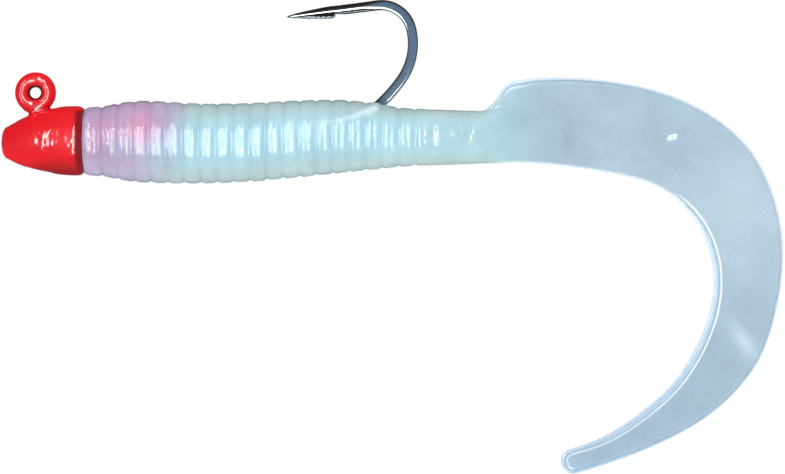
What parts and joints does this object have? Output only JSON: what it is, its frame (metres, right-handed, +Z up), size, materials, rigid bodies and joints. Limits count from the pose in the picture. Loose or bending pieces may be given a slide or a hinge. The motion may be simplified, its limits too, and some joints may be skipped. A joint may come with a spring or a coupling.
{
  "type": "soft plastic worm",
  "caption": "Soft plastic worm with a ribbed body and a curled ribbon tail, threaded on a painted jig head with an upright hook.",
  "frame": {"origin": "centre of the line eye", "axes": "+X back along the shank towards the tail, +Z up towards the hook point, +Y across the rig, along the line eye's hole"},
  "size_m": [0.1178, 0.0124, 0.0699],
  "materials": {
    "lead": "matte",
    "hook_steel": "polished",
    "red_paint": "gloss",
    "soft_plastic": "gloss"
  },
  "bodies": {
    "rig": {"lead_head": "lead", "jig_hook": "hook_steel", "paint_coat": "red_paint", "worm_body_front": "soft_plastic"},
    "body_rear": {"worm_body_rear": "soft_plastic"},
    "neck": {"tail_neck": "soft_plastic"},
    "ribbon_1": {"tail_ribbon_1": "soft_plastic"},
    "ribbon_2": {"tail_ribbon_2": "soft_plastic"},
    "ribbon_3": {"tail_ribbon_3": "soft_plastic"},
    "ribbon_4": {"tail_ribbon_4": "soft_plastic"},
    "ribbon_5": {"tail_ribbon_5": "soft_plastic"},
    "ribbon_6": {"tail_ribbon_6": "soft_plastic"},
    "ribbon_7": {"tail_ribbon_7": "soft_plastic"},
    "ribbon_8": {"tail_ribbon_8": "soft_plastic"},
    "ribbon_9": {"tail_ribbon_9": "soft_plastic"}
  },
  "joints": [
    {"name": "body_sway", "type": "hinge", "parent": "rig", "child": "body_rear", "pos_m": [0.052, 0, -0.00668], "axis": [0, 0, 1], "range_deg": [-25, 25], "stiffness_Nm_per_rad": 0.03},
    {"name": "tail_nod", "type": "hinge", "parent": "body_rear", "child": "neck", "pos_m": [0.0614, 0, -0.00668], "axis": [0.005, 1, 0.003], "range_deg": [-15, 15], "stiffness_Nm_per_rad": 0.04},
    {"name": "ribbon_sway_1", "type": "hinge", "parent": "neck", "child": "ribbon_1", "pos_m": [0.0748, 0, -0.00419], "axis": [-0.0082, 0, 1], "range_deg": [-20, 20], "stiffness_Nm_per_rad": 0.012},
    {"name": "ribbon_curl_1", "type": "hinge", "parent": "ribbon_1", "child": "ribbon_2", "pos_m": [0.08477, 0, -0.00484], "axis": [0.005, -1, 0.003], "range_deg": [-3, 12], "stiffness_Nm_per_rad": 0.02},
    {"name": "ribbon_sway_2", "type": "hinge", "parent": "ribbon_2", "child": "ribbon_3", "pos_m": [0.09449, 0, -0.00707], "axis": [0.371, 0, 0.9286], "range_deg": [-20, 20], "stiffness_Nm_per_rad": 0.012},
    {"name": "ribbon_curl_2", "type": "hinge", "parent": "ribbon_3", "child": "ribbon_4", "pos_m": [0.10255, 0, -0.01283], "axis": [0.005, -1, 0.003], "range_deg": [-3, 12], "stiffness_Nm_per_rad": 0.02},
    {"name": "ribbon_sway_3", "type": "hinge", "parent": "ribbon_4", "child": "ribbon_5", "pos_m": [0.10678, 0, -0.0207], "axis": [0.9618, 0, 0.2737], "range_deg": [-20, 20], "stiffness_Nm_per_rad": 0.012},
    {"name": "ribbon_curl_3", "type": "hinge", "parent": "ribbon_5", "child": "ribbon_6", "pos_m": [0.10733, 0, -0.02961], "axis": [0.005, -1, 0.003], "range_deg": [-3, 12], "stiffness_Nm_per_rad": 0.02},
    {"name": "ribbon_sway_4", "type": "hinge", "parent": "ribbon_6", "child": "ribbon_7", "pos_m": [0.10444, 0, -0.03809], "axis": [0.8816, 0, -0.4721], "range_deg": [-20, 20], "stiffness_Nm_per_rad": 0.012},
    {"name": "ribbon_sway_5", "type": "hinge", "parent": "ribbon_7", "child": "ribbon_8", "pos_m": [0.09898, 0, -0.0452], "axis": [0.683, 0, -0.7304], "range_deg": [-20, 20], "stiffness_Nm_per_rad": 0.012},
    {"name": "ribbon_sway_6", "type": "hinge", "parent": "ribbon_8", "child": "ribbon_9", "pos_m": [0.09204, 0, -0.05006], "axis": [0.4854, 0, -0.8743], "range_deg": [-20, 20], "stiffness_Nm_per_rad": 0.012}
  ],
  "couplings": [
    {"joint": "ribbon_curl_2", "follows": "ribbon_curl_1", "ratio": 1},
    {"joint": "ribbon_curl_3", "follows": "ribbon_curl_1", "ratio": 1}
  ]
}
